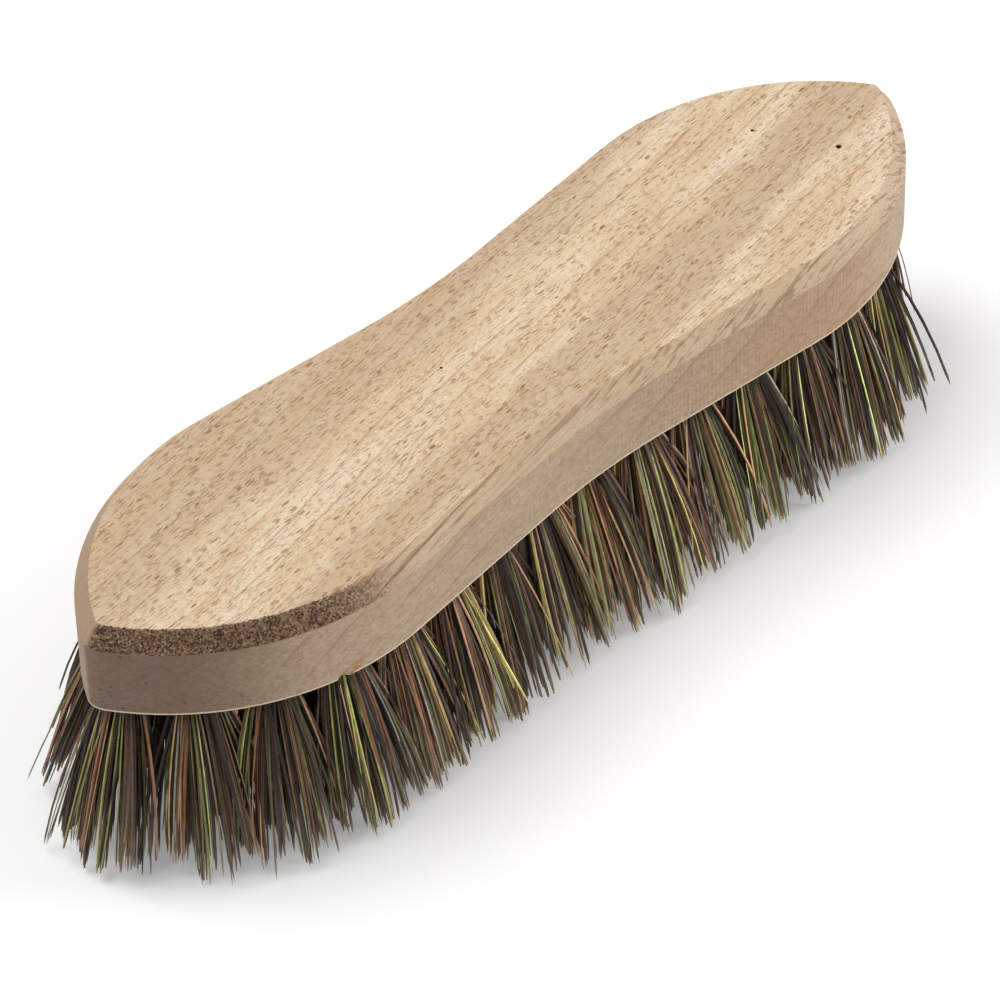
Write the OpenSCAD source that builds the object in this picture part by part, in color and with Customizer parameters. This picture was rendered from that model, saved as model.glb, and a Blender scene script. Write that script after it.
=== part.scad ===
// Wooden hand scrub brush with two pointed ends and tilted bristle tufts.
// Millimetres. X runs along the block, Z up, origin on the floor under the middle.
// The brush stands on the tips of its bristles.

/* [Block] */
// Length of the block from point to point
block_length = 219; // [205:1:240]
// Width across the narrow middle
waist_width = 49.6; // [48:0.2:53]
// Width across each broad lobe
lobe_width = 59.6; // [58:0.2:63]
// Radius of the hollow curve at the waist
waist_radius = 164; // [150:2:190]
// Radius of the round curve that runs out to each point
nose_radius = 55.6; // [53:0.2:58]
// Radius that rounds off each point
point_radius = 4.5; // [4.5:0.5:8]
// Thickness of the block
block_thickness = 19; // [18:0.5:25]
// Width of the chamfer round the top face
chamfer_width = 2.8; // [1:0.1:4]
// Height of the chamfer down the side wall
chamfer_height = 3.9; // [1:0.1:6]
// Bevel that breaks the bottom edge
arris = 0.5; // [0.2:0.1:0.8]

/* [Holes] */
// Diameter of the blind hole for one tuft
hole_diameter = 7.5; // [6:0.1:8]
// Depth of a hole to the shoulder of its drill point
hole_depth = 11; // [9:0.5:12]
// Point angle of the drill
drill_point = 118; // [100:1:140]
// Tufts in the outer row
outer_count = 32; // [26:2:32]
// Tufts in the inner row
inner_count = 22; // [16:2:22]
// Tufts along the middle of the two lobes
centre_count = 4; // [2:2:4]
// Distance of the outer row from the side wall
outer_inset = 6.5; // [6:0.1:8]
// Distance of the inner row from the side wall
inner_inset = 18.5; // [17:0.1:20]
// Where the first middle tuft of a lobe stands
centre_start = 44; // [38:1:48]
// Distance between the middle tufts of a lobe
centre_pitch = 21; // [16:1:24]

/* [Bristles] */
// Length of the bristles below the block
bristle_length = 35; // [28:1:42]
// Outward lean of the outer row
outer_lean = 14; // [6:0.5:15]
// Outward lean of the tuft at each point of the block
nose_lean = 13; // [8:0.5:17]
// Outward lean of the inner row
inner_lean = 6; // [0:0.5:6]
// Strands drawn for each tuft, one of them in its middle
strand_count = 8; // [5:1:8]
// Radius of a strand where it leaves the block
strand_radius = 1; // [0.6:0.05:1]
// How far a tuft fans out at the floor, as a share of the way to the nearest tuft
fan_share = 0.44; // [0.25:0.01:0.44]
// Greatest shortfall of a worn strand, as a share of its length
wear = 0.14; // [0:0.01:0.2]

/* [Anchors] */
// Width of the flat wire, along the hole
wire_width = 2.2; // [1.5:0.1:2.5]
// Thickness of the flat wire
wire_thickness = 0.45; // [0.3:0.05:0.6]
// How far each end of the wire bites into the wood
wire_bite = 0.8; // [0.4:0.1:1]

/* [Hidden] */
waist_steps = 4;
nose_steps = 20;
point_steps = 5;
$fn = 48;
hole_radius = hole_diameter / 2;
drill_tip = hole_radius / tan(drill_point / 2);
underside = bristle_length;
top_face = underside + block_thickness;
overshoot = 4;

// Centres of the arcs of a quarter outline: the waist and the nose, joined by their inner
// tangent, and the small arc that rounds the point, which the nose arc runs into
waist_centre = [0, waist_width / 2 + waist_radius];
nose_drop = nose_radius - lobe_width / 2;
point_centre = [block_length / 2 - point_radius, 0];
nose_centre = point_centre
    - [sqrt(pow(nose_radius - point_radius, 2) - pow(nose_drop, 2)), nose_drop];
point_turn = atan2(nose_drop, point_centre.x - nose_centre.x);
centre_distance = norm(waist_centre - nose_centre);
flank_length = sqrt(pow(centre_distance, 2) - pow(waist_radius + nose_radius, 2));
flank_slope = atan2(nose_centre.x, waist_centre.y - nose_centre.y)
    - acos((waist_radius + nose_radius) / centre_distance);

// Strands root inside the plug, bow out on the way down and thin towards the floor
root_share = 1.5 / bristle_length;
root_circle = hole_radius - strand_radius - 0.3;
bow_height = 0.5;
spread_curve = [[0, 0], [bow_height, 0.38], [1, 1]];
mid_thinning = 0.85;
tip_thinning = 0.65;
tip_stray = 0.3;
worn_share = 0.4;

fibre_colours = ["#3a2618", "#b5854a", "#6b4526", "#8f9a3c", "#c89a5e", "#4a3020", "#7d8a35"];
two_digits = ["01", "02", "03", "04", "05", "06", "07", "08", "09"];
outer_names = [for (k = [1:outer_count]) str("outer_tuft_", numbered(k))];
inner_names = [for (k = [1:inner_count]) str("inner_tuft_", numbered(k))];
centre_names = [for (k = [1:centre_count]) str("centre_tuft_", numbered(k))];

function numbered(k) = k < 10 ? two_digits[k - 1] : str(k);
function on_circle(radius, angle) = radius * [cos(angle), sin(angle)];
function arc_length(radius, angle) = radius * angle * PI / 180;
function arc_angle(radius, length) = length / radius * 180 / PI;

// Where the nose arc, drawn in by a tuft row's inset, meets the long axis
function nose_end(inset) = asin(nose_drop / (nose_radius - inset));

// Lengths along a quarter of the inset outline, from the waist to the point
function waist_run(inset) = arc_length(waist_radius + inset, flank_slope);
function nose_run(inset) = arc_length(nose_radius - inset, 90 + flank_slope - nose_end(inset));
function quarter_run(inset) = waist_run(inset) + flank_length + nose_run(inset);

// A quarter outline as points: the waist arc, the straight flank, the nose arc, the point's arc
function quarter_outline(inset) = concat(
    [for (k = [0:waist_steps])
        waist_centre + on_circle(waist_radius + inset, -90 + flank_slope * k / waist_steps)],
    [for (k = [0:nose_steps])
        let (start = 90 + flank_slope, turn = start - point_turn)
        nose_centre + on_circle(nose_radius - inset, start - turn * k / nose_steps)],
    [for (k = [1:point_steps])
        point_centre + on_circle(point_radius - inset, point_turn * (1 - k / point_steps))]);

// The whole outline, anticlockwise from the right point
function outline(inset) =
    let (quarter = quarter_outline(inset), last = len(quarter) - 1)
    concat(
        [for (k = [last:-1:0]) quarter[k]],
        [for (k = [1:last]) [-quarter[k].x, quarter[k].y]],
        [for (k = [last - 1:-1:0]) -quarter[k]],
        [for (k = [1:last - 1]) [quarter[k].x, -quarter[k].y]]);

function raise(points, height) = [for (p = points) [p.x, p.y, height]];

// Point and outward heading at a distance along the inset quarter, from the waist
function quarter_place(run, inset) =
    let (to_flank = waist_run(inset), to_nose = to_flank + flank_length)
    run < to_flank
        ? let (turn = arc_angle(waist_radius + inset, run))
            [waist_centre + on_circle(waist_radius + inset, -90 + turn), 90 + turn]
    : run < to_nose
        ? [waist_centre + on_circle(waist_radius + inset, -90 + flank_slope)
            + on_circle(run - to_flank, flank_slope), 90 + flank_slope]
    : let (heading = 90 + flank_slope - arc_angle(nose_radius - inset, run - to_nose))
        [nose_centre + on_circle(nose_radius - inset, heading), heading];

// Place k of count places evenly round the inset outline: x, y, heading and lean.
// Place 0 is at the right point, and the second half is the first turned half round.
function row_place(k, count, inset, lean, end_lean) =
    let (
        quarter = quarter_run(inset),
        half = count / 2,
        run = 2 * quarter * (k % half) / half,
        near = run < quarter,
        place = quarter_place(near ? quarter - run : run - quarter, inset),
        side = near ? 1 : -1,
        at_point = k % half == 0,
        flip = k < half ? 1 : -1,
        heading = at_point ? 0 : near ? place[1] : 180 - place[1])
    [flip * side * place[0].x, at_point ? 0 : flip * place[0].y,
        heading + (k < half ? 0 : 180), at_point ? end_lean : lean];

function centre_place(k) =
    let (half = centre_count / 2, x = centre_start + centre_pitch * (k % half))
    [k < half ? x : -x, 0, k < half ? 0 : 180, 0];

function outer_place(k) = row_place(k, outer_count, outer_inset, outer_lean, nose_lean);
function inner_place(k) = row_place(k, inner_count, inner_inset, inner_lean, inner_lean);

all_places = concat(
    [for (k = [0:outer_count - 1]) outer_place(k)],
    [for (k = [0:inner_count - 1]) inner_place(k)],
    [for (k = [0:centre_count - 1]) centre_place(k)]);

// Where the middle of each tuft meets the floor, and how far its strands fan out there
floor_points = [for (place = all_places)
    [place[0], place[1]] + on_circle(tan(place[3]) * bristle_length, place[2])];
function fan_radius(k) = fan_share * min([
    for (j = [0:len(floor_points) - 1]) if (j != k) norm(floor_points[j] - floor_points[k])]);

// Faces that close a stack of rings of n points, listed from the bottom ring up
function side_faces(rings, n) = [
    for (r = [0:rings - 2], j = [0:n - 1])
        let (a = r * n + j, b = r * n + (j + 1) % n)
        each [[a, a + n, b + n], [a, b + n, b]]];
function lifted(faces, step) = [for (f = faces) [for (i = [2:-1:0]) f[i] + step]];

// Closes a stack of rings with one flat cap at each end, cap being the bottom ring's triangles
module skin(rings, cap) {
    n = len(rings[0]);
    polyhedron(
        points = [for (ring = rings) each ring],
        faces = concat(side_faces(len(rings), n), cap, lifted(cap, (len(rings) - 1) * n)),
        convexity = 4);
}

// Strips across the long axis, which close an outline that is hollow at the waist
function strip_cap(n) = [
    for (j = [0:n / 2 - 1])
        let (far = n - j)
        each (j == 0 ? [[0, 1, n - 1]]
            : j == n / 2 - 1 ? [[j, j + 1, far]]
            : [[j, j + 1, far - 1], [j, far - 1, far]])];

// Moves its children to a hole's mouth, Z up the hole and X away from the middle
module at_hole(place) {
    translate([place[0], place[1], underside])
        rotate([0, 0, place[2]])
            rotate([0, -place[3], 0])
                children();
}

module hole(place) {
    at_hole(place)
        rotate_extrude()
            polygon([[0, -overshoot], [hole_radius, -overshoot], [hole_radius, hole_depth],
                [0, hole_depth + drill_tip]]);
}

// Flat wire through the fold of a tuft, level, with its ends in the wood
module anchor(place) {
    wire_length = hole_diameter + 2 * wire_bite;
    at_hole(place)
        translate([0, 0, hole_depth - wire_width / 2])
            cube([wire_thickness, wire_length, wire_width], center = true);
}

// Centre line of a strand, given where it roots and ends across the tuft's axis
function strand_point(place, root, tip, share) =
    let (
        drift = tan(place[3]) * bristle_length * share,
        across = root + (tip - root) * lookup(share, spread_curve),
        middle = [place[0], place[1]] + on_circle(drift, place[2]) + across)
    [middle.x, middle.y, underside - bristle_length * share];

function strand_ring(point, radius, turn) = [
    for (corner = [0:2]) point + concat(on_circle(radius, turn + 120 * corner), 0)];

// One three-sided strand from inside the plug to the floor, or a little short where worn
module strand(place, fan, index, seed) {
    chance = rands(0, 1, 4, 97 * seed + index);
    in_middle = index == strand_count - 1;
    turn = place[2] + 360 * index / (strand_count - 1);
    root = on_circle(in_middle ? 0 : root_circle, turn);
    stray = on_circle(tip_stray * chance[0], place[2] + 360 * chance[1]);
    tip = on_circle(in_middle ? 0 : fan, turn) + stray;
    reach = chance[2] < worn_share ? 1 - wear * chance[3] : 1;
    skin([
        strand_ring(strand_point(place, root, tip, reach), strand_radius * tip_thinning, turn),
        strand_ring(strand_point(place, root, tip, bow_height), strand_radius * mid_thinning, turn),
        strand_ring(strand_point(place, root, tip, -root_share), strand_radius, turn)],
        [[0, 1, 2]]);
}

// Folded fibres that fill one hole, trimmed level with the underside and slotted for the anchor
module plug(place) {
    difference() {
        intersection() {
            hole(place);
            translate([place[0] - block_thickness, place[1] - block_thickness, underside])
                cube([2 * block_thickness, 2 * block_thickness, block_thickness]);
        }
        anchor(place);
    }
}

module tuft(k, seed) {
    place = all_places[k];
    color(fibre_colours[seed % len(fibre_colours)]) plug(place);
    for (index = [0:strand_count - 1])
        color(fibre_colours[(seed + 3 * index) % len(fibre_colours)])
            strand(place, fan_radius(k), index, seed);
}

// The block before drilling, lofted from the arris up to the chamfered top
module blank() {
    skin([
        raise(outline(arris), underside),
        raise(outline(0), underside + arris),
        raise(outline(0), top_face - chamfer_height),
        raise(outline(chamfer_width), top_face)],
        strip_cap(4 * (waist_steps + nose_steps + point_steps + 1)));
}

// Every sixth hole, from a given one: small lots are quicker to cut than all at once
module hole_lot(first) {
    for (k = [first:6:len(all_places) - 1]) hole(all_places[k]);
}

module block() {
    color("#d9b483")
        difference() {
            blank();
            hole_lot(0);
            hole_lot(1);
            hole_lot(2);
            hole_lot(3);
            hole_lot(4);
            hole_lot(5);
            for (place = all_places) anchor(place);
        }
}

module tuft_anchors() {
    color("#a9abad")
        for (place = all_places) anchor(place);
}

module outer_tuft(k) { tuft(k, k % (outer_count / 2)); }
module inner_tuft(k) { tuft(outer_count + k, 20 + k % (inner_count / 2)); }
module centre_tuft(k) { tuft(outer_count + inner_count + k, 40 + k % (centre_count / 2)); }

block();
tuft_anchors();
for (k = [0:outer_count - 1]) outer_tuft(k);
for (k = [0:inner_count - 1]) inner_tuft(k);
for (k = [0:centre_count - 1]) centre_tuft(k);
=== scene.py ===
"""A wooden hand scrub brush: a pointed beech block, and tufts of stiff mixed fibre held by steel anchors."""

from __future__ import annotations

import logging
import math
import random
from dataclasses import dataclass, field
from enum import Enum
from typing import NamedTuple

import bpy
import numpy as np
from bpy.types import ID, Material, Mesh, NodeSocket, Object
from mathutils import Matrix, Vector

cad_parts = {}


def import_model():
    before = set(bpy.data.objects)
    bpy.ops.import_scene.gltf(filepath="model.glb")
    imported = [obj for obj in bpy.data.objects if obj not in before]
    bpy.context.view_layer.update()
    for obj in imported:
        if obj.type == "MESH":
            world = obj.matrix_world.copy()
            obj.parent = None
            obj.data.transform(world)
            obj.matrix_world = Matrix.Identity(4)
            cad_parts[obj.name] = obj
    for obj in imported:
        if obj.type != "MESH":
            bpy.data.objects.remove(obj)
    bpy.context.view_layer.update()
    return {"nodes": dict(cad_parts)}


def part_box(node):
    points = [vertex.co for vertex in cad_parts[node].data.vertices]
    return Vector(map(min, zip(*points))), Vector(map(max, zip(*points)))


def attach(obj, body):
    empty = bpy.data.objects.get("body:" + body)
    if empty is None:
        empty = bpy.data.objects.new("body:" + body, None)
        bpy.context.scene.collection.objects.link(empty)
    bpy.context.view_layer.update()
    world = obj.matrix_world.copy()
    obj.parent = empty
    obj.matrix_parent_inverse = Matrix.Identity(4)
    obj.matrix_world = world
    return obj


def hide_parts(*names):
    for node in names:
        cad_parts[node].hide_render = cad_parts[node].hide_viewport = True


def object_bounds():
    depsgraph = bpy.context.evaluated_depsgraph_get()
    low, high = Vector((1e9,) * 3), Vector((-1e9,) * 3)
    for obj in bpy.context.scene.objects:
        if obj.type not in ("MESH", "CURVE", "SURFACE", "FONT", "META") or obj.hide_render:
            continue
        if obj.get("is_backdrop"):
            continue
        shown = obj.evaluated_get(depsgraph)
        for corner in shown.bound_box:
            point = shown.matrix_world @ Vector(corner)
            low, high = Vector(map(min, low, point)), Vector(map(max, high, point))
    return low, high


MM = 0.001
BODY = "root"
BLOCK_NODE = "block"
ANCHOR_NODE = "tuft_anchors"

Triple = tuple[float, float, float]
Zone = tuple[float, float, float, float]
Faces = list[tuple[int, ...]]
log = logging.getLogger("scrub_brush")


@dataclass(frozen=True)
class Socket:
    """One output of a node in a material's graph, on which Python's operators add Math nodes."""

    graph: Graph
    output: NodeSocket

    def math(self, operation: str, *others: Socket | float) -> Socket:
        """Adds a Math node on this value and any others."""
        return self.graph.add("Math", dict(enumerate((self, *others))), operation=operation)

    def __add__(self, other: Socket | float) -> Socket:
        """Adds."""
        return self.math("ADD", other)

    __radd__ = __add__

    def __sub__(self, other: Socket | float) -> Socket:
        """Subtracts."""
        return self.math("SUBTRACT", other)

    def __rsub__(self, other: float) -> Socket:
        """Subtracts this value from a number."""
        return self.graph.add("Math", {0: other, 1: self}, operation="SUBTRACT")

    def __mul__(self, other: Socket | float) -> Socket:
        """Multiplies."""
        return self.math("MULTIPLY", other)

    def __abs__(self) -> Socket:
        """Drops the sign."""
        return self.math("ABSOLUTE")

    def hypot(self, other: Socket) -> Socket:
        """Gives the length of the diagonal over this value and another."""
        return (self * self + other * other).math("SQRT")

    def step(self, low: float, high: float) -> Socket:
        """Rises smoothly from 0 at the low value to 1 at the high one, or falls where high is below low."""
        inputs = {"Value": self, "From Min": low, "From Max": high}
        return self.graph.add("MapRange", inputs, interpolation_type="SMOOTHSTEP")

    def band(self, start: float, full: float, fade: float, end: float) -> Socket:
        """Rises from 0 to 1 between the first two values, and falls back between the last two."""
        return self.step(start, full) * self.step(end, fade)


class Graph:
    """One material's node tree, built round a Principled BSDF."""

    def __init__(self, name: str) -> None:
        """Makes a material with an empty Principled BSDF.

        Args:
            name: The material's name.
        """
        self.material = bpy.data.materials.new(name)
        self.material.use_nodes = True
        self.tree = self.material.node_tree
        self.shader = self.tree.nodes["Principled BSDF"]

    def add(self, kind: str, inputs: dict, output: str | int = 0, **settings: object) -> Socket:
        """Adds a node.

        Args:
            kind: The node's type, without the "ShaderNode" that it starts with.
            inputs: Values or sockets by the name or number of the input.
            output: The name or number of the output that is wanted.
            settings: The node's own properties.

        Returns:
            The wanted output.
        """
        node = self.tree.nodes.new("ShaderNode" + kind)
        for key, value in settings.items():
            setattr(node, key, value)
        for key, value in inputs.items():
            self.feed(node.inputs[key], value)
        return Socket(self, node.outputs[output])

    def feed(self, target: NodeSocket, value: object) -> None:
        """Links a socket or sets a plain value.

        Args:
            target: The input to feed.
            value: A socket, a number, a vector or a colour.
        """
        if isinstance(value, Socket):
            self.tree.links.new(value.output, target)
        elif target.type == "RGBA" and len(value) == 3:
            target.default_value = (*value, 1)
        else:
            target.default_value = value

    def millimetres(self) -> Socket:
        """Gives the place on the object in millimetres."""
        place = self.add("TexCoord", {}, "Object")
        return self.add("VectorMath", {0: place, "Scale": 1 / MM}, operation="SCALE")

    def split(self, vector: Socket) -> tuple[Socket, ...]:
        """Gives a vector's three parts."""
        node = self.add("SeparateXYZ", {0: vector}).output.node
        return tuple(Socket(self, output) for output in node.outputs)

    def stretch(self, place: Socket, scale: Triple, turn: float = 0) -> Socket:
        """Turns a place about Z by an angle in degrees, and then scales it unevenly."""
        turned = self.add("Mapping", {"Vector": place, "Rotation": (0, 0, math.radians(turn))})
        return self.add("Mapping", {"Vector": turned, "Scale": scale})

    def noise(self, place: Socket, scale: Triple, detail: float, roughness: float, turn: float = 0) -> Socket:
        """Adds a Noise Texture, a value about 0.5, read at a place after a turn in degrees and a stretch."""
        place = self.stretch(place, scale, turn)
        return self.add("TexNoise", {"Vector": place, "Scale": 1, "Detail": detail, "Roughness": roughness})

    def coats(self, colour: Socket | Triple, *coats: tuple[Socket, Socket | Triple]) -> Socket:
        """Lays coats over a colour, one after another.

        Args:
            colour: The colour below.
            coats: How much of each coat shows, and its colour.

        Returns:
            The mixed colour.
        """
        for share, coat in coats:
            colour = self.add("Mix", {0: share, 6: colour, 7: coat}, 2, data_type="RGBA", clamp_factor=True)
        return colour

    def bump(self, height: Socket, distance: float, strength: float) -> Socket:
        """Turns a height from 0 to 1 into a normal, where 1 is as deep as the distance in metres."""
        return self.add("Bump", {"Height": height, "Distance": distance, "Strength": strength})

    def finish(self, **inputs: object) -> Material:
        """Feeds the Principled BSDF.

        Args:
            inputs: Values by the input's name, with underscores for spaces.

        Returns:
            The finished material.
        """
        for name, value in inputs.items():
            self.feed(self.shader.inputs[name.replace("_", " ").title().replace("Ior", "IOR")], value)
        return self.material


@dataclass(frozen=True)
class BeechFinish:
    """Bare sanded beech: its colours, with a painted highlight and painted shade among them, and the measures
    of its marks in millimetres and degrees.
    """

    cream: Triple = (0.80, 0.665, 0.48)
    tan: Triple = (0.735, 0.55, 0.345)
    rose: Triple = (0.555, 0.41, 0.27)
    ring: Triple = (0.46, 0.275, 0.155)
    pore: Triple = (0.29, 0.145, 0.045)
    chamfer: Triple = (0.60, 0.435, 0.285)
    chamfer_line: Triple = (0.29, 0.165, 0.09)
    wall: Triple = (0.58, 0.44, 0.31)
    wall_warm: Triple = (0.59, 0.395, 0.25)
    wall_streak: Triple = (0.40, 0.27, 0.17)
    # Darker end grain, with painted shade at the left point's near side.
    wall_end_and_shade: Triple = (0.255, 0.18, 0.125)
    # Painted highlight along the foot of the wall, at the rounded arris.
    arris_highlight: Triple = (0.95, 0.79, 0.56)
    splinter: Triple = (0.43, 0.235, 0.085)
    torn_dark: Triple = (0.055, 0.03, 0.018)
    torn_mid: Triple = (0.20, 0.115, 0.068)
    torn_light: Triple = (0.42, 0.29, 0.165)
    grain_slope: float = -9.0
    pore_slope: float = -3.0
    ring_pitch: float = 4.3
    ring_rise: float = 0.42
    warm_side: tuple[float, float] = (8.0, 17.0)
    rose_band: Zone = (-23.0, -19.0, -11.0, -7.0)
    warm_wall: Zone = (10.0, 45.0, 64.0, 82.0)
    chamfer_width: float = 2.8
    chamfer_height: float = 3.9
    # The band at the foot of the wall, in millimetres above the underside, that gets the painted highlight.
    arris_highlight_zone: tuple[float, float] = (0.92, 0.78)
    cutter_pitch: float = 1.02
    cutter_zone: Zone = (-10.0, 20.0, 60.0, 78.0)
    torn_zone: tuple[float, float] = (-55.0, -76.0)
    splinter_shift: tuple[float, float] = (1.6, 1.5)
    relief: float = 0.35 * MM


class BeechGraph(Graph):
    """The beech's graph: pores as short dashes, growth rings, and torn end grain at one point's chamfer."""

    def __init__(self, finish: BeechFinish, outline: BlockOutline, bottom: float, top: float) -> None:
        """Finds the faces, and makes the marks that several of them share.

        Args:
            finish: The colours and measures.
            outline: The block's outline.
            bottom: Height of the block's underside, in millimetres.
            top: Height of the block's top face, in millimetres.
        """
        super().__init__("bare_beech")
        self.beech = finish
        self.outline = outline
        self.place = self.millimetres()
        self.along, self.across, self.height = self.split(self.place)
        self.off_grain = self.split(self.stretch(self.place, (1, 1, 1), finish.grain_slope))[1]
        self.facing_up = self.split(self.add("NewGeometry", {}, "True Normal"))[2]
        self.facing_end, self.facing_side, _ = self.split(self.add("NewGeometry", {}, "Normal"))
        self.grit = self.grain((1.7, 1.7, 1.7), 3, 0.7) - 0.5

        thickness = top - bottom
        edge = thickness - finish.chamfer_height
        self.above = self.height - bottom
        self.upright = 1 - abs(self.facing_up).step(0.3, 0.6)
        self.on_wall = (self.above - self.grit * 0.9).step(edge + 0.12, edge - 0.12) * self.upright
        self.on_top = self.above.step(10, thickness - 3)
        self.on_chamfer = self.facing_up.band(0.1, 0.4, 0.93, 0.985) * (1 - self.on_wall)

        self.ring_tone, self.ring_line = self.rings()
        self.warmth = self.warm_wood()
        bent = self.bent_place()
        self.coarse = self.pores(bent, (0.33, 3.0, 2.0), 0, self.warmth * 0.25 + 0.66)
        self.fine = self.pores(bent, (0.52, 3.6, 2.8), 37, 0.7)
        self.streaks = self.noise(bent, (0.05, 2.0, 2.0), 3, 0.7, finish.grain_slope)
        self.cutter = self.cutter_marks() * self.on_wall

    def grain(self, scale: Triple, detail: float, roughness: float, turn: float = 0) -> Socket:
        """Adds a Noise Texture that is read at the place on the block."""
        return self.noise(self.place, scale, detail, roughness, turn)

    def paint(self, pinholes: tuple[Triple, ...], chip: float) -> Material:
        """Paints the faces and the flaws, with a painted highlight at the foot of the wall and painted shade
        at the left point.

        Args:
            pinholes: The small flaws in the top face: place along, place across and radius, in metres.
            chip: Where along the block the rim is chipped, in metres.

        Returns:
            The material.
        """
        beech = self.beech
        rim = self.facing_up.band(0.60, 0.70, 0.965, 0.99) * self.along.step(-20, 30)
        torn = self.torn_mask()
        speckle, torn_tone = self.torn_grain()
        colour = self.coats(
            self.face_colour(),
            (self.on_wall, self.wall_colour()),
            (self.on_chamfer * 0.75, beech.chamfer),
            (self.on_chamfer * self.scores(), beech.chamfer_line),
            # Darker end grain on the chamfers that face the left end, partly painted shade on that side only.
            (self.on_chamfer * self.facing_end.step(-0.15, -0.42) * 0.85, beech.wall_streak),
            (rim * 0.5, beech.ring),
            (torn, torn_tone),
            # A painted highlight along the foot of the wall, at the rounded arris.
            (self.above.step(*beech.arris_highlight_zone) * self.upright * 0.8, beech.arris_highlight),
            (self.splinters(chip) * self.across.step(0, -5) * self.upright, beech.splinter),
        )
        for x, y, radius in pinholes:
            distance = (self.along - x / MM).hypot(self.across - y / MM)
            inside = distance.step(radius / MM * 1.2, radius / MM * 0.8)
            colour = self.coats(colour, (inside * self.on_top, beech.torn_dark))
        relief = 0.6 - self.coarse * 0.35 - self.fine * 0.15 + self.streaks * 0.15 + self.cutter * 0.2
        return self.finish(
            base_color=colour,
            roughness=0.60 + self.streaks * 0.12 + torn * 0.15,
            specular_ior_level=0.3,
            normal=self.bump(relief + torn * speckle, beech.relief, 0.6),
        )

    def warm_wood(self) -> Socket:
        """Finds the warmer wood: 1 on the board's far side and in a band near its near side, else 0."""
        line = self.off_grain + (self.grain((0.02, 0.06, 0.06), 3, 0.6) - 0.5) * 22
        return line.step(*self.beech.warm_side).math("MAXIMUM", line.band(*self.beech.rose_band))

    def bent_place(self) -> Socket:
        """Bends the place across the grain a little, so that pores and streaks aren't quite straight."""
        offset = self.add("CombineXYZ", {"Y": (self.grain((0.05, 0.5, 0.5), 2, 0.6) - 0.5) * 2.4})
        return self.add("VectorMath", {0: self.place, 1: offset}, operation="ADD")

    def face_colour(self) -> Socket:
        """Colours the faces that are cut along the grain.

        Returns:
            The colour.
        """
        beech = self.beech
        clouds = self.grain((0.03, 0.16, 0.1), 2, 0.55, beech.grain_slope)
        ripple = self.grain((0.75, 0.16, 0.3), 2, 0.6, 24)
        grain = self.grain((1.6, 4.5, 4.5), 2, 0.6)
        return self.coats(
            beech.cream,
            (clouds.step(0.38, 0.66), beech.tan),
            (self.warmth * 0.72, beech.rose),
            (ripple.step(0.42, 0.72) * 0.16, beech.ring),
            (self.ring_tone * 0.16 + self.ring_line * 0.55, beech.ring),
            (self.streaks.step(0.46, 0.74) * 0.50, beech.ring),
            (grain.step(0.45, 0.70) * 0.48, beech.ring),
            (self.coarse * 0.95, beech.pore),
            (self.fine * 0.75, beech.pore),
        )

    def wall_colour(self) -> Socket:
        """Colours the upright wall, greyer where it cuts across the grain, with painted shade at the left
        point's near side.

        Returns:
            The colour.
        """
        beech = self.beech
        # The end grain, with painted shade weighted to the left point's near side.
        ends = self.end_grain_and_shade()
        scratches = self.grain((0.9, 0.9, 0.09), 3, 0.7)
        mottle = self.grain((0.7, 0.7, 1.2), 5, 0.85)
        hatch = self.hatch(self.height).math("MAXIMUM", self.hatch(self.height * -1))
        dots = self.pores(self.place, (0.9, 0.9, 0.9), 71, 0.10)
        return self.coats(
            beech.wall,
            (self.along.band(*beech.warm_wall), beech.wall_warm),
            (self.ring_tone * 0.22 + self.ring_line * 0.42, beech.wall_streak),
            (self.streaks.step(0.45, 0.72) * 0.45 + self.coarse * 0.25, beech.wall_streak),
            # Darker end grain, with painted shade most at the left point's near side.
            (ends, beech.wall_end_and_shade),
            (scratches.step(0.45, 0.75) * 0.20, beech.wall_streak),
            (mottle.step(0.42, 0.62) * 0.30, beech.torn_mid),
            (self.cutter * 0.26, beech.wall_streak),
            (hatch * (ends * 0.42 + 0.08), beech.torn_mid),
            (dots * ends * 0.8, beech.torn_dark),
        )

    def end_grain_and_shade(self) -> Socket:
        """Finds where the wall cuts across the grain, with painted shade most at the left point's near side:
        1 there, else 0.
        """
        shade_on_near_side = self.facing_side.step(0.45, 0.05) * 0.7 + 0.3
        return abs(self.facing_end).step(0.30, 0.75) * (self.along.step(20, -60) * 0.9 + 0.1) * shade_on_near_side

    def hatch(self, rise: Socket) -> Socket:
        """Makes the sander's slanting scratches, which climb one way along the wall as the rise does."""
        place = self.add("CombineXYZ", {"X": self.along + rise, "Y": self.along - rise})
        return self.noise(place, (0.14, 1.5, 1), 3, 0.7).step(0.47, 0.64)

    def scores(self) -> Socket:
        """Finds the dark lines on the chamfer: the cut rings, long scores on the near side, and streaks.

        Returns:
            How much of them shows.
        """
        scores = self.grain((0.015, 1.5, 0.5), 2, 0.6, self.beech.grain_slope).step(0.52, 0.60)
        scored = self.ring_line * 0.5 + scores * (self.across.step(5, -15) * 0.45 + 0.1)
        return scored + self.streaks.step(0.50, 0.66) * 0.2

    def torn_mask(self) -> Socket:
        """Finds the chamfer at the near left point, where the cutter tore the end grain.

        Returns:
            1 on the torn chamfer and 0 elsewhere.
        """
        centre_x, centre_y = self.outline.nose_centre()
        radius = (self.along + centre_x / MM).hypot(self.across - centre_y / MM)
        edge = self.outline.nose_radius / MM - self.beech.chamfer_width
        beyond_edge = (radius + self.grit * 2.6).step(edge - 0.15, edge + 0.15)
        fade = (self.along + self.grit * 30).step(*self.beech.torn_zone)
        return beyond_edge * self.across.step(1.2, -0.6) * fade * (1 - self.on_wall)

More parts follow.
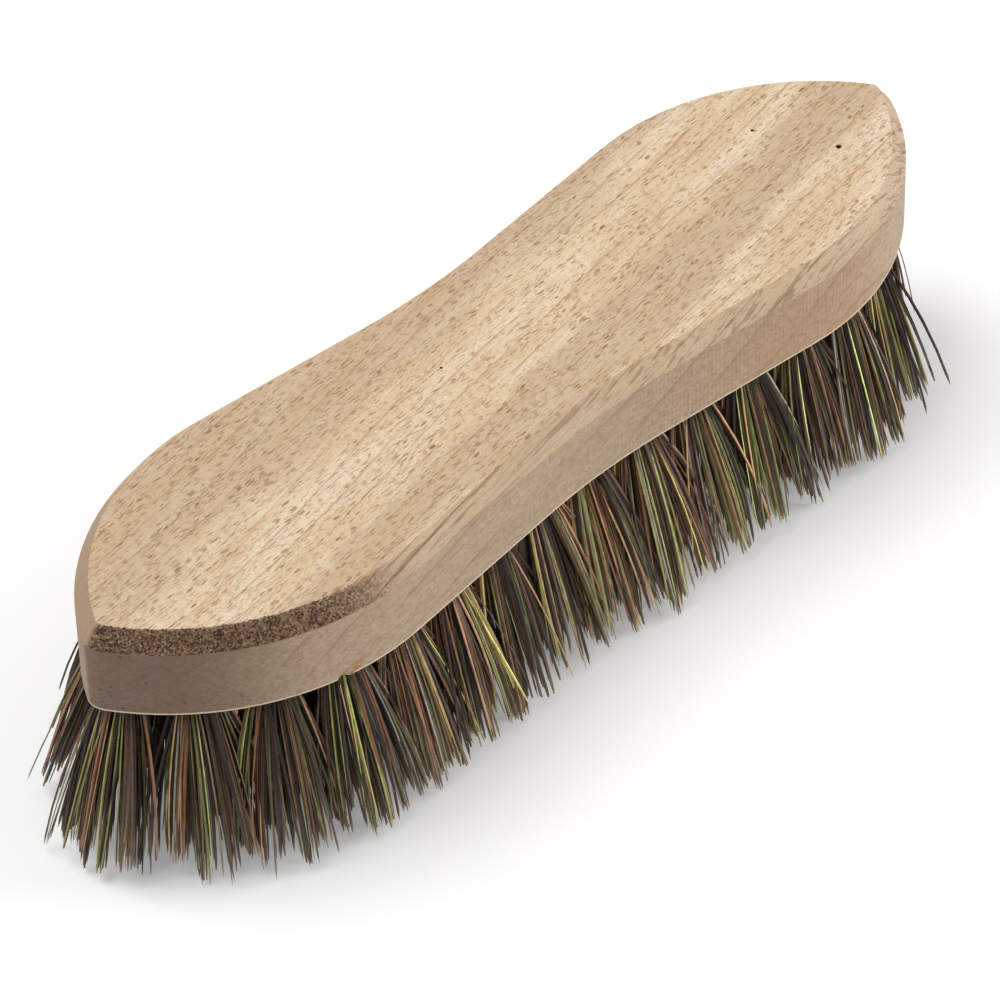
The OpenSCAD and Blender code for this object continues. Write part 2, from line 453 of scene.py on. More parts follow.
    def splinters(self, chip: float) -> Socket:
        """Finds the raw splintered wood above the chip in the rim.

        Args:
            chip: Where along the block the rim is chipped, in metres.

        Returns:
            1 on raw wood and 0 elsewhere.
        """
        right, up = self.beech.splinter_shift
        from_x = self.along - chip / MM - right
        from_z = self.above - up
        reach = from_x.hypot((from_z - from_x * 0.35) * 2.2)
        flecks = self.grain((0.7, 0.7, 1.8), 3, 0.7)
        return reach.step(3.8, 2.0) * flecks.step(0.40, 0.54) * 0.95

    def torn_grain(self) -> tuple[Socket, Socket]:
        """Makes the torn end grain: a speckle of open dark pores and light fibre ends.

        Returns:
            The speckle, and its colour.
        """
        cells = self.add("TexVoronoi", {"Vector": self.place, "Scale": 2.9}, "Color")
        first, second, _ = self.split(cells)
        speckle = first * 0.5 + self.grain((2.2, 2.2, 2.2), 3, 0.75) * 0.5
        return speckle, self.coats(
            self.beech.torn_dark,
            (speckle.step(0.34, 0.52), self.beech.torn_mid),
            (speckle.step(0.56, 0.72) * (second * 0.8 + 0.2), self.beech.torn_light),
        )

    def rings(self) -> tuple[Socket, Socket]:
        """Makes the growth rings of a board cut a little off the grain.

        Returns:
            A soft tone through each ring, and the thin line at its edge.
        """
        sway = self.grain((0.009, 0.03, 0.03), 1, 0.5) * 11
        wobble = self.grain((0.10, 0.4, 0.4), 3, 0.6) * 0.8
        depth = self.off_grain + sway + wobble + self.height * self.beech.ring_rise
        saw = (depth * (1 / self.beech.ring_pitch)).math("FRACT")
        strength = self.grain((0.02, 0.2, 0.2), 1, 0.5).step(0.34, 0.6)
        return saw * saw * strength, saw.band(0.86, 0.96, 0.98, 1.0) * (strength * 0.8 + 0.2)

    def pores(self, place: Socket, density: Triple, shift: float, share: Socket | float) -> Socket:
        """Makes the open pores: short dashes along the grain, and dots where it is cut across.

        Args:
            place: The place in millimetres.
            density: How many cells, each with room for one pore, lie in a millimetre along each axis.
            shift: How far this set of pores lies from another.
            share: The share of the cells with a pore.

        Returns:
            1 in a pore and 0 outside.
        """
        moved = self.add("VectorMath", {0: place, 1: (shift, shift, shift)}, operation="ADD")
        cells = self.stretch(moved, density, self.beech.pore_slope)
        inputs = {"Vector": cells, "Scale": 1.0}
        near = self.add("TexVoronoi", inputs)
        likely, depth, _ = self.split(self.add("TexVoronoi", inputs, "Color"))
        crowd = self.noise(place, (0.04, 0.22, 0.22), 1, 0.5, self.beech.grain_slope) - 0.5
        present = (likely + crowd * 0.9 + share).step(0.95, 1.05)
        return near.step(0.40, 0.22) * present * (depth * 0.7 + 0.3)

    def cutter_marks(self) -> Socket:
        """Makes the fine upright marks that the spindle cutter left on the side wall.

        Returns:
            1 on a mark and 0 between.
        """
        sway = self.grain((0.12, 0.12, 0.12), 2, 0.5) * 3
        wave = (self.along * (2 * math.pi / self.beech.cutter_pitch) + sway).math("SINE") * 0.5 + 0.5
        patch = self.grain((0.035, 0.035, 0.1), 1, 0.5).step(0.38, 0.6)
        worked = self.along.band(*self.beech.cutter_zone)
        broken = self.grain((0.9, 0.9, 0.35), 2, 0.6).step(0.36, 0.6)
        return wave * broken * (patch * 0.25 + worked * 0.75) * abs(self.facing_end).step(0.75, 0.5)


@dataclass(frozen=True)
class FibreFinish:
    """Stiff plant fibre, each with its own tone, darkest at the root with dust and painted shade, and paler
    with painted light towards a cut tip.
    """

    # Paler cut ends, and painted light that grows towards the tips.
    pale_tip_and_light: Triple = (0.47, 0.40, 0.27)
    # Dark tone for random mottle, and for dust with painted shade at the root.
    root: Triple = (0.02, 0.012, 0.008)
    tone_attribute: str = "fibre_tone"
    share_attribute: str = "fibre_share"

    def material(self) -> Material:
        """Builds the material.

        Returns:
            The material.
        """
        graph = Graph("mixed_fibre")
        tone = graph.add("Attribute", {}, "Color", attribute_name=self.tone_attribute)
        share = graph.add("Attribute", {}, "Fac", attribute_name=self.share_attribute)
        place = graph.millimetres()
        mottle = graph.noise(place, (1.1, 1.1, 0.16), 3, 0.65)
        flakes = graph.noise(place, (4.0, 4.0, 0.7), 1, 0.5)
        colour = graph.coats(
            tone,
            # Random dark mottle, and dust with painted shade near the root under the block.
            (mottle.step(0.42, 0.70) * 0.40 + share.step(0.26, 0.07) * 0.5, self.root),
            # Paler cut ends, and painted light that grows towards the tips.
            (share.step(0.5, 1.0) * 0.18 + share.step(0.88, 1.0) * 0.22, self.pale_tip_and_light),
        )
        return graph.finish(
            base_color=colour,
            roughness=0.42 + flakes * 0.25,
            specular_ior_level=0.45,
            normal=graph.bump(flakes, 0.08 * MM, 0.4),
        )


@dataclass(frozen=True)
class WireFinish:
    """Flat steel anchor wire, bright with a fine drawn grain."""

    steel: Triple = (0.60, 0.61, 0.63)
    dull: Triple = (0.36, 0.36, 0.37)

    def material(self) -> Material:
        """Builds the material.

        Returns:
            The material.
        """
        graph = Graph("anchor_wire")
        grain = graph.noise(graph.millimetres(), (0.6, 0.6, 9.0), 2, 0.6)
        return graph.finish(
            base_color=graph.coats(self.steel, (grain, self.dull)),
            metallic=1.0,
            roughness=0.3 + grain * 0.2,
            normal=graph.bump(grain, 0.02 * MM, 0.3),
        )


def set_mode(mode: str) -> None:
    """Changes the active object's mode."""
    bpy.ops.object.mode_set(mode=mode)


def deselect_all() -> None:
    """Leaves object mode clean: nothing selected and nothing active."""
    if bpy.context.mode != "OBJECT":
        set_mode("OBJECT")
    bpy.ops.object.select_all(action="DESELECT")
    bpy.context.view_layer.objects.active = None


def activate(piece: Object) -> None:
    """Selects one object alone.

    Args:
        piece: The object.
    """
    deselect_all()
    piece.select_set(True)
    bpy.context.view_layer.objects.active = piece


def apply_modifier(piece: Object, kind: str, **settings: object) -> None:
    """Adds a modifier to a piece and applies it.

    Args:
        piece: The piece.
        kind: The modifier's type.
        settings: The modifier's settings.
    """
    activate(piece)
    modifier = piece.modifiers.new(kind.lower(), kind)
    for key, value in settings.items():
        setattr(modifier, key, value)
    bpy.ops.object.modifier_apply(modifier=modifier.name)


def add_object(name: str, data: ID) -> Object:
    """Adds an object to the scene.

    Args:
        name: Its name.
        data: Its mesh, camera or lamp.

    Returns:
        The object.
    """
    item = bpy.data.objects.new(name, data)
    bpy.context.scene.collection.objects.link(item)
    return item


def set_in(piece: Object, node: str) -> Object:
    """Sets a finished piece in the frame.

    Args:
        piece: The piece.
        node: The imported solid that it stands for.

    Returns:
        The piece.
    """
    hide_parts(node)
    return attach(piece, BODY)


@dataclass
class BlockOutline:
    """The block's outline: nose arcs, straight flanks and a hollow waist, in metres."""

    length: float
    lobe_width: float
    waist_width: float = 49.6 * MM
    waist_radius: float = 164 * MM
    nose_radius: float = 55.6 * MM
    point_radius: float = 4.5 * MM

    def nose_centre(self) -> tuple[float, float]:
        """Finds the centre of the nose arc.

        Returns:
            How far it lies along the block and past the long axis.
        """
        drop = self.nose_radius - self.lobe_width / 2
        run = math.sqrt((self.nose_radius - self.point_radius) ** 2 - drop**2)
        return self.length / 2 - self.point_radius - run, drop

    def half_width(self, along: float) -> float:
        """Gives half the block's width at a place along it.

        Args:
            along: The place along the block.

        Returns:
            Half the width there, or 0 past a point.
        """
        x = abs(along)
        nose_x, drop = self.nose_centre()
        waist_y = self.waist_width / 2 + self.waist_radius
        gap = math.hypot(nose_x, waist_y + drop)
        slope = math.atan2(nose_x, waist_y + drop) - math.acos((self.waist_radius + self.nose_radius) / gap)
        flank_start = self.waist_radius * math.sin(slope)
        flank_end = nose_x - self.nose_radius * math.sin(slope)
        if x < flank_start:
            return waist_y - math.sqrt(self.waist_radius**2 - x**2)
        if x < flank_end:
            start = waist_y - self.waist_radius * math.cos(slope)
            return start + (x - flank_start) * math.tan(slope)
        reach = self.nose_radius**2 - (x - nose_x) ** 2
        return max(0.0, math.sqrt(max(0.0, reach)) - drop)


@dataclass
class BeechBlock:
    """The beech block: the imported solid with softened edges, a chipped rim and small flaws in its top."""

    node: Object
    finish: BeechFinish = field(default_factory=BeechFinish)
    edge_round: float = 0.35 * MM
    rim_margin: float = 3.2 * MM
    sharp: float = math.radians(22)
    flat: float = math.radians(0.6)
    merge: float = 0.002 * MM
    pinholes: tuple[Triple, ...] = (
        (86.9 * MM, -7.6 * MM, 0.60 * MM),
        (79.4 * MM, 8.5 * MM, 0.36 * MM),
        (-14.1 * MM, 3.7 * MM, 0.30 * MM),
    )
    pinhole_depth: float = 2.5 * MM
    pinhole_oval: Triple = (1.35, 0.85, 1.0)
    chip_place: float = -73.5 * MM
    chip_reach: Triple = (2.7 * MM, 2.2 * MM, 2.1 * MM)
    chip_turn: Triple = (math.radians(-90), math.radians(20), math.radians(12))

    def build(self) -> Object:
        """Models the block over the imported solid.

        Returns:
            The finished piece.
        """
        low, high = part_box(BLOCK_NODE)
        self.outline = BlockOutline(length=high.x - low.x, lobe_width=high.y - low.y)
        piece = self.copy_node()
        for x, y, radius in self.pinholes:
            self.cut(
                piece, self.pinhole_oval, vertices=14, radius1=radius * 0.45, radius2=radius * 1.25,
                depth=2 * self.pinhole_depth, location=(x, y, high.z),
            )
        self.cut(
            piece, self.chip_reach, vertices=5, radius1=1.0, radius2=0.35, depth=2.0, rotation=self.chip_turn,
            location=(self.chip_place, -self.outline.half_width(self.chip_place), low.z),
        )
        self.round_edges(piece, low.z)
        activate(piece)
        bpy.ops.object.shade_smooth_by_angle(angle=self.sharp)
        graph = BeechGraph(self.finish, self.outline, low.z / MM, high.z / MM)
        piece.data.materials.clear()
        piece.data.materials.append(graph.paint(self.pinholes, self.chip_place))
        return set_in(piece, BLOCK_NODE)

    def copy_node(self) -> Object:
        """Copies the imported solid's mesh, merged and with its flat faces whole again.

        Returns:
            The copy.
        """
        piece = add_object("beech_block", self.node.data.copy())
        activate(piece)
        set_mode("EDIT")
        bpy.ops.mesh.select_all(action="SELECT")
        bpy.ops.mesh.remove_doubles(threshold=self.merge)
        bpy.ops.mesh.dissolve_limited(angle_limit=self.flat, use_dissolve_boundaries=False)
        bpy.ops.mesh.customdata_custom_splitnormals_clear()
        set_mode("OBJECT")
        return piece

    @staticmethod
    def cut(piece: Object, scale: Triple, **cone: object) -> None:
        """Cuts a cone out of the block.

        Args:
            piece: The block.
            scale: How the cone is stretched.
            cone: Its sizes and place.
        """
        deselect_all()
        bpy.ops.mesh.primitive_cone_add(**cone)
        tool = bpy.context.object
        bpy.ops.transform.resize(value=scale)
        bpy.ops.object.transform_apply()
        apply_modifier(piece, "BOOLEAN", operation="DIFFERENCE", solver="EXACT", object=tool)
        bpy.data.objects.remove(tool)

    def round_edges(self, piece: Object, bottom: float) -> None:
        """Rounds the edges of the outline, and leaves those of the holes sharp.

        Args:
            piece: The block.
            bottom: The height of the underside.
        """
        mesh = piece.data
        faces_of: dict[tuple[int, int], list[Vector]] = {}
        for face in mesh.polygons:
            for key in face.edge_keys:
                faces_of.setdefault(key, []).append(face.normal)
        weights = mesh.attributes.new("bevel_weight_edge", "FLOAT", "EDGE")
        for edge in mesh.edges:
            normals = faces_of.get(edge.key, [])
            is_sharp = len(normals) == 2 and normals[0].angle(normals[1], 0) > self.sharp
            on_rim = all(self.near_rim(mesh.vertices[index].co, bottom) for index in edge.vertices)
            weights.data[edge.index].value = float(is_sharp and on_rim)
        apply_modifier(piece, "BEVEL", width=self.edge_round, segments=2, limit_method="WEIGHT")

    def near_rim(self, point: Vector, bottom: float) -> bool:
        """Says whether a point lies near the outline, away from the holes."""
        outside = abs(point.y) > self.outline.half_width(point.x) - self.rim_margin
        return outside and point.z > bottom - 0.01 * MM


@dataclass
class TuftHole:
    """Where a tuft comes out of the block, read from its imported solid."""

    mouth: Vector
    direction: Vector
    radius: float

    @classmethod
    def of(cls, node: Object, underside: float) -> TuftHole:
        """Reads a tuft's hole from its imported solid.

        Args:
            node: The tuft's solid.
            underside: The height of the block's underside.

        Returns:
            The hole: its mouth's centre, the way out and its radius.
        """
        points = np.array([vertex.co for vertex in node.data.vertices])
        rim = points[np.abs(points[:, 2] - underside) < 0.02 * MM]
        middle = (rim.min(axis=0) + rim.max(axis=0)) / 2
        drill_point = points[points[:, 2].argmax()]
        mouth = Vector((middle[0], middle[1], underside))
        direction = (mouth - Vector(drill_point)).normalized()
        across = np.linalg.norm(rim[:, :2] - middle[:2], axis=1)
        return cls(mouth, direction, float(across.max()) * -direction.z)


@dataclass
class FibreStock:
    """One straight fibre, modelled once and then laid along many fibres' own paths."""

    tip: float
    sides: int = 4
    rings: int = 5
    taper: float = 0.78
    cap: float = 0.06
    shares: np.ndarray = field(init=False)
    offsets: np.ndarray = field(init=False)
    faces: Faces = field(init=False)

    def __post_init__(self) -> None:
        """Models the fibre as a tapered rod of unit length and radius."""
        deselect_all()
        bpy.ops.mesh.primitive_cone_add(
            vertices=self.sides, radius1=1.0, radius2=self.taper, depth=1.0, location=(0, 0, 0.5),
            end_fill_type="NOTHING",
        )
        rod = bpy.context.object
        bpy.ops.object.transform_apply()
        set_mode("EDIT")
        for cut in range(1, self.rings):
            bpy.ops.mesh.select_all(action="SELECT")
            bpy.ops.mesh.bisect(plane_co=(0, 0, cut / self.rings), plane_no=(0, 0, 1))
        self.point_the_end(rod.data)
        points = np.array([vertex.co for vertex in rod.data.vertices])
        self.shares = points[:, 2].copy()
        self.offsets = points[:, :2].copy()
        self.faces = [tuple(face.vertices) for face in rod.data.polygons]
        bpy.data.objects.remove(rod)

    def point_the_end(self, mesh: Mesh) -> None:
        """Extrudes the far ring a little and draws it in, to a point or to a blunt cut end.

        Args:
            mesh: The rod's mesh, in edit mode, which is left in object mode.
        """
        set_mode("OBJECT")
        for group in (mesh.vertices, mesh.polygons):
            group.foreach_set("select", [False] * len(group))
        for edge in mesh.edges:
            edge.select = all(mesh.vertices[index].co.z > 0.999 for index in edge.vertices)
        set_mode("EDIT")
        bpy.ops.mesh.select_mode(type="EDGE")
        bpy.ops.mesh.extrude_edges_move(TRANSFORM_OT_translate={"value": (0, 0, self.cap)})
        bpy.ops.transform.resize(value=(self.tip, self.tip, 1.0), center_override=(0, 0, 1 + self.cap))
        bpy.ops.mesh.edge_face_add()
        bpy.ops.mesh.select_all(action="SELECT")
        bpy.ops.transform.resize(value=(1, 1, 1 / (1 + self.cap)), center_override=(0, 0, 0))
        set_mode("OBJECT")


@dataclass(frozen=True)
class FibreKind:
    """How common one kind of fibre is, its tone and its radius."""

    share: float
    tone: Triple
    radius: float


class Fibre(Enum):
    """The kinds of fibre in the mixture."""

    DARK = FibreKind(0.28, (0.040, 0.027, 0.023), 0.36 * MM)
    UMBER = FibreKind(0.17, (0.115, 0.064, 0.043), 0.33 * MM)
    RED_BROWN = FibreKind(0.19, (0.28, 0.125, 0.066), 0.28 * MM)
    TAN = FibreKind(0.14, (0.52, 0.31, 0.165), 0.21 * MM)
    OLIVE = FibreKind(0.10, (0.21, 0.205, 0.070), 0.26 * MM)
    LIME = FibreKind(0.11, (0.50, 0.53, 0.17), 0.23 * MM)
    GREY = FibreKind(0.05, (0.36, 0.32, 0.29), 0.20 * MM)

    @classmethod
    def pick(cls, rng: random.Random) -> FibreKind:
        """Draws a kind of fibre from the mixture."""
        return rng.choices([fibre.value for fibre in cls], weights=[fibre.value.share for fibre in cls])[0]


@dataclass(frozen=True)
class RowStyle:
    """How the names of one row's tufts start, how full they are, and how far they fan out and along."""

    prefix: str
    count: int
    fan_out: float
    fan_along: float


class Row(Enum):
    """The rows of tufts."""

    OUTER = RowStyle("outer_tuft", 225, 9.0 * MM, 13.2 * MM)
    INNER = RowStyle("inner_tuft", 165, 10.0 * MM, 12.5 * MM)
    CENTRE = RowStyle("centre_tuft", 130, 10.0 * MM, 10.0 * MM)


class Lock(NamedTuple):
    """A few fibres of a tuft that cling together: where they end and how much shorter they are."""

    place: Vector
    shortfall: float


class Part(NamedTuple):
    """One fibre or the root: its points, faces, tone, and share of the length at each point."""

    points: np.ndarray
    faces: Faces
    tone: Triple
    shares: np.ndarray


@dataclass
class Tuft:
    """One tuft: a packed root in its hole, and fibres that fan out between two corners and cling in locks."""

    name: str
    hole: TuftHole
    rng: random.Random
    stocks: list[FibreStock]
    style: RowStyle
    low: Vector
    high: Vector
    gather: float
    paleness: float
    sway: float = 2.2 * MM
    root_depth: float = 1.6 * MM
    root_margin: float = 0.45 * MM
    lock_count: int = 21
    lock_pull: float = 0.60
    flare: float = 0.10
    bow: float = 0.8 * MM
    stray_chance: float = 0.16
    stray_reach: float = 7.5 * MM
    uneven: float = 1.5 * MM
    lock_uneven: float = 4.2 * MM
    plug_depth: float = 9.0 * MM
    plug_sink: float = 1.1 * MM
    plug_tone: Triple = (0.022, 0.015, 0.011)

    def build(self, material: Material) -> Object:
        """Models the tuft.

        Args:
            material: The fibre's material.

        Returns:
            The finished piece.
        """
        self.fan_out = self.style.fan_out * (1 - self.gather / 2)
        self.fan_along = self.style.fan_along * (1 - self.gather / 2)
        self.aside = Vector((self.rng.gauss(0, 1), self.rng.gauss(0, 1))) * self.sway * 0.6
        self.locks = [self.lock() for _ in range(self.lock_count)]
        piece = self.join([self.fibre() for _ in range(self.style.count)] + [self.root_plug()])
        piece.data.materials.append(material)
        activate(piece)
        bpy.ops.object.shade_smooth_by_angle(angle=math.radians(60))
        return set_in(piece, self.name)

    def on_floor(self, angle: float, reach: float) -> Vector:
        """Places a point in the tuft's oval fan.

        Args:
            angle: The direction from the way that the tuft leans.
            reach: The share of the way out to the fan's edge.

        Returns:
            The offset from the tuft's axis at the floor.
        """
        outward = self.hole.direction.to_2d()
        outward = outward.normalized() if outward.length > 1e-3 else Vector((1, 0))
        sideways = Vector((-outward.y, outward.x))
        oval = outward * math.cos(angle) * self.fan_out + sideways * math.sin(angle) * self.fan_along
        return self.aside + oval * reach

    def lock(self) -> Lock:
        """Chooses one lock."""
        place = self.on_floor(self.rng.uniform(0, 2 * math.pi), math.sqrt(self.rng.uniform(0.05, 1.1)))
        return Lock(place, self.rng.uniform(0, self.lock_uneven))

    def fibre(self) -> Part:
        """Draws one fibre's kind and path, and lays it.

        Returns:
            The fibre.
        """
        rng = self.rng
        kind = Fibre.pick(rng)
        stock = rng.choice(self.stocks)
        angle = rng.uniform(0, 2 * math.pi)
        reach = math.sqrt(rng.random())
        spread = self.on_floor(angle, reach**0.85 * rng.uniform(0.85, 1.1))
        root = (spread - self.aside).normalized() * reach * (self.hole.radius - self.root_margin)
        lock = min(self.locks, key=lambda one: (one.place - spread).length)
        shortfall = lock.shortfall + abs(rng.gauss(0, 1)) * self.uneven
        pull = min(1.0, self.lock_pull * rng.uniform(0.5, 1.5))
        spread = spread.lerp(lock.place, pull)
        if rng.random() < self.stray_chance:
            turn = rng.uniform(0, 2 * math.pi)
            spread += Vector((math.cos(turn), math.sin(turn))) * self.stray_reach * rng.uniform(0.5, 1.0)
            shortfall += rng.uniform(0, 2 * self.lock_uneven)
        start, end = self.ends(root, spread, shortfall)
        bend = Vector((rng.gauss(0, 1), rng.gauss(0, 1), 0)) * self.bow * 0.5
        bend += spread.to_3d() * self.flare
        points = self.lay(stock, start, end, bend, kind.radius * rng.uniform(0.7, 1.3))
        brightness = self.paleness * math.exp(rng.gauss(0, 0.48))
        tone = tuple(channel * brightness * rng.uniform(0.92, 1.08) for channel in kind.tone)
        return Part(points, stock.faces, tone, stock.shares)

    def ends(self, root: Vector, spread: Vector, shortfall: float) -> tuple[Vector, Vector]:
        """Finds where a fibre starts in the hole and where it ends.

        Args:
            root: Its offset from the axis at the mouth.
            spread: Its offset from the axis at the floor.
            shortfall: How much shorter it is than one that reaches the floor.

        Returns:
            Its first and last points.
        """
        way = self.hole.direction
        mouth = self.hole.mouth + root.to_3d()
        lean = way * ((self.hole.mouth.z - self.low.z) / -way.z)
        lean.xy *= 1 - self.gather
        end = self.hole.mouth + lean + spread.to_3d()
        margin = self.rng.uniform(0.6, 2.6) * MM
        for axis in (0, 1):
            room = (self.high[axis] if end[axis] > 0 else self.low[axis]) - mouth[axis]
            room -= math.copysign(margin, room)
            excess = (end[axis] - mouth[axis]) / room
            if excess > 1:
                end = mouth.lerp(end, 1 / excess)
                end.z = self.low.z
        end += (mouth - end).normalized() * shortfall
        return mouth - way * self.root_depth, end

    def lay(self, stock: FibreStock, start: Vector, end: Vector, bend: Vector, radius: float) -> np.ndarray:
        """Bends the straight fibre along its path.

        Args:
            stock: The straight fibre.
            start: The path's start.
            end: The path's end.
            bend: How far the middle stands off the straight line.
            radius: The fibre's radius.

        Returns:
            The fibre's points.
        """
        turn = self.rng.uniform(0, math.pi)
        flat = self.rng.uniform(0.5, 1.0)
        share = stock.shares[:, None]
        line = np.array(start) * (1 - share) + np.array(end) * share
        line += np.array(bend) * (4 * share * (1 - share))
        way = (end - start).normalized()
        side = Matrix.Rotation(turn, 3, way) @ way.orthogonal().normalized()
        offset = stock.offsets * radius
        points = line + np.outer(offset[:, 0], side) + np.outer(offset[:, 1] * flat, way.cross(side))
        return np.clip(points, np.array(self.low), np.array(self.high))

    def root_plug(self) -> Part:
        """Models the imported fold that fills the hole, seen dark between the fibres.

        Returns:
            The root.
        """
        deselect_all()
        radius = self.hole.radius - 0.06 * MM
        bpy.ops.mesh.primitive_cylinder_add(vertices=18, radius=radius, depth=self.plug_depth)
        plug = bpy.context.object
        set_mode("EDIT")
        bpy.ops.mesh.select_all(action="DESELECT")
        set_mode("OBJECT")
        for face in plug.data.polygons:
            face.select = face.normal.z > 0.9
        set_mode("EDIT")
        bpy.ops.mesh.select_mode(type="FACE")
        bpy.ops.mesh.inset(thickness=0.9 * MM, depth=0.45 * MM)
        bpy.ops.mesh.inset(thickness=1.1 * MM, depth=0.2 * MM)
        set_mode("OBJECT")
        way = self.hole.direction
        place = Matrix.Translation(self.hole.mouth - way * (self.plug_depth / 2 + self.plug_sink))
        plug.data.transform(place @ way.to_track_quat("Z", "Y").to_matrix().to_4x4())
        points = np.array([vertex.co for vertex in plug.data.vertices])
        faces = [tuple(face.vertices) for face in plug.data.polygons]
        bpy.data.objects.remove(plug)
        return Part(points, faces, self.plug_tone, np.zeros(len(points)))

    def join(self, parts: list[Part]) -> Object:
        """Joins the fibres and the root into one mesh with a tone for each.

        Args:
            parts: The fibres and the root.

        Returns:
            The piece.
        """
        finish = FibreFinish()
        faces: Faces = []
        start = 0
        for part in parts:
            faces.extend(tuple(index + start for index in face) for face in part.faces)
            start += len(part.points)
        mesh = bpy.data.meshes.new(f"{self.name}_fibres")
        mesh.from_pydata(np.concatenate([part.points for part in parts]).tolist(), [], faces)
        tones = np.concatenate([np.tile((*part.tone, 1.0), (len(part.points), 1)) for part in parts])
        shares = np.concatenate([part.shares for part in parts])
        layer = mesh.attributes.new(finish.tone_attribute, "FLOAT_COLOR", "POINT")
        layer.data.foreach_set("color", tones.ravel())
        layer = mesh.attributes.new(finish.share_attribute, "FLOAT", "POINT")
        layer.data.foreach_set("value", shares)
        mesh.validate()
        return add_object(f"{self.name}_fibres", mesh)


@dataclass
class BristleField:
    """All the tufts under the block."""

    nodes: dict[str, Object]
    first_seed: int = 100
    tips: tuple[float, float] = (0.12, 0.55)
    inset: float = 0.05 * MM
    end_gather: float = 0.68
    gather_from: float = 77 * MM
    palest: float = -15 * MM

    def drawn_in(self, mouth: Vector) -> float:
        """Says how far a tuft is drawn in, as those at the right point and behind it are.

        Args:
            mouth: Where the tuft leaves the block.

        Returns:
            1 where it is fully drawn in and 0 where it isn't.
        """
        near_end = min(1.0, max(0.0, (mouth.x - self.gather_from) / (15 * MM)))
        far_side = min(1.0, max(0.35, (mouth.y + 24 * MM) / (14 * MM)))
        return near_end * far_side

    def paleness(self, along: float) -> float:
        """Says how pale the fibres are at a place along the block: palest left of the middle."""
        left_end = min(1.0, max(0.0, (along + 95 * MM) / (35 * MM)))
        return 0.78 + 0.24 * left_end + 0.66 * math.exp(-(((along - self.palest) / (46 * MM)) ** 2))

    def build(self) -> list[Object]:
        """Models every tuft.

        Returns:
            The pieces.
        """
        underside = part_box(BLOCK_NODE)[0].z
        inset = Vector((self.inset, self.inset, 0))
        low, high = (Vector(corner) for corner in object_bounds())
        stocks = [FibreStock(tip) for tip in self.tips]
        material = FibreFinish().material()
        pieces = []
        styles = {row.value.prefix: row.value for row in Row}
        tufts = sorted(name for name in self.nodes if name.rpartition("_")[0] in styles)
        for seed, name in enumerate(tufts, self.first_seed):
            style = styles[name.rpartition("_")[0]]
            hole = TuftHole.of(self.nodes[name], underside)
            gather = self.end_gather * self.drawn_in(hole.mouth)
            paleness = self.paleness(hole.mouth.x)
            rng = random.Random(seed)
            tuft = Tuft(name, hole, rng, stocks, style, low + inset, high - inset, gather, paleness)
            pieces.append(tuft.build(material))
        return pieces


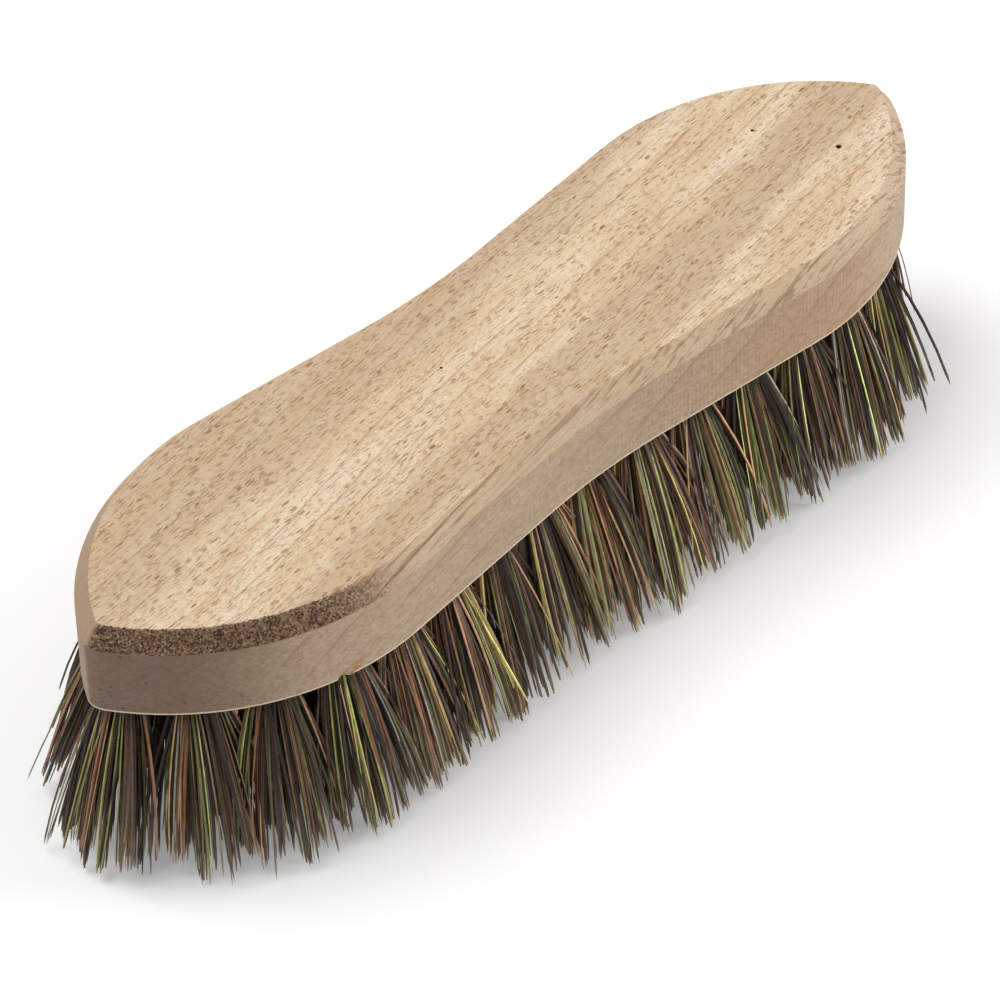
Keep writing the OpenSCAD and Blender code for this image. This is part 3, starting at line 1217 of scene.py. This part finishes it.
@dataclass
class Studio:
    """The camera, the floor and the lamps."""

    yaw_pitch_roll: Triple = (45.27, 41.49, -1.73)
    camera_place: Triple = (-0.5966, -0.5879, 0.7545)
    focal_pixels: float = 5760.0
    frame_pixels: float = 1000.0
    sensor: float = 36.0
    floor_size: float = 6.0
    floor_tone: Triple = (0.82, 0.82, 0.82)
    floor_glow: float = 0.22
    sky: float = 0.40

    def build(self) -> None:
        """Sets the stage."""
        self.place_camera()
        self.lay_floor()
        self.light()
        bpy.context.scene.view_settings.view_transform = "Standard"

    def place_camera(self) -> None:
        """Places the camera at the photograph's angle."""
        yaw, pitch, roll = (math.radians(angle) for angle in self.yaw_pitch_roll)
        forward = Vector((math.cos(pitch) * math.sin(yaw), math.cos(pitch) * math.cos(yaw), -math.sin(pitch)))
        level = Vector((math.cos(yaw), -math.sin(yaw), 0))
        down = forward.cross(level)
        right = math.cos(roll) * level - math.sin(roll) * down
        under = math.sin(roll) * level + math.cos(roll) * down
        turn = Matrix((right, -under, -forward)).transposed().to_4x4()
        data = bpy.data.cameras.new("camera")
        data.sensor_width = self.sensor
        data.lens = self.sensor * self.focal_pixels / self.frame_pixels
        data.clip_start = 0.01
        data.clip_end = 50
        camera = add_object("camera", data)
        camera.matrix_world = Matrix.Translation(self.camera_place) @ turn
        bpy.context.scene.camera = camera

    def lay_floor(self) -> None:
        """Lays a pale floor that looks white to the camera and keeps the brush's shadow."""
        deselect_all()
        bpy.ops.mesh.primitive_plane_add(size=self.floor_size, location=(0, 0, 0))
        floor = bpy.context.object
        floor.name = "floor"
        graph = Graph("floor")
        material = graph.finish(base_color=self.floor_tone, roughness=0.9, specular_ior_level=0.1)
        floor.data.materials.append(material)
        seen = graph.add("LightPath", {}, "Is Camera Ray")
        glow = graph.add("Emission", {"Color": (1, 1, 1), "Strength": seen * self.floor_glow})
        both = graph.add("AddShader", {0: Socket(graph, graph.shader.outputs[0]), 1: glow})
        graph.feed(graph.tree.nodes["Material Output"].inputs["Surface"], both)
        floor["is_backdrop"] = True

    def light(self) -> None:
        """Hangs soft lamps over a pale world."""
        world = bpy.data.worlds.new("studio")
        bpy.context.scene.world = world
        world.use_nodes = True
        sky = world.node_tree.nodes["Background"]
        sky.inputs["Color"].default_value = (1, 1, 1, 1)
        sky.inputs["Strength"].default_value = self.sky
        self.lamp("key", (-0.3, 0.6, 1.5), 1.1, 17)
        self.lamp("fill", (1.3, -0.9, 0.7), 0.9, 15)

    def lamp(self, name: str, place: Triple, size: float, power: float) -> None:
        """Hangs one square lamp that points at the brush.

        Args:
            name: The lamp's name.
            place: Where it hangs.
            size: Its side.
            power: Its power in watts.
        """
        data = bpy.data.lights.new(name, "AREA")
        data.size = size
        data.energy = power
        lamp = add_object(name, data)
        lamp.location = place
        lamp.rotation_euler = (-Vector(place)).to_track_quat("-Z", "Y").to_euler()


def main() -> None:
    """Builds the brush and its stage, and reports each piece."""
    logging.basicConfig(level=logging.INFO, format="%(name)s: %(message)s")
    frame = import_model()
    Studio().build()
    nodes = frame["nodes"]
    block = BeechBlock(nodes[BLOCK_NODE]).build()
    log.info("%s: %d faces", block.name, len(block.data.polygons))
    tufts = BristleField(nodes).build()
    log.info("%d tufts: %d faces", len(tufts), sum(len(piece.data.polygons) for piece in tufts))
    anchors = nodes[ANCHOR_NODE]
    anchors.data.materials.clear()
    anchors.data.materials.append(WireFinish().material())
    log.info("%s: steel", anchors.name)


if __name__ == "__main__":
    main()
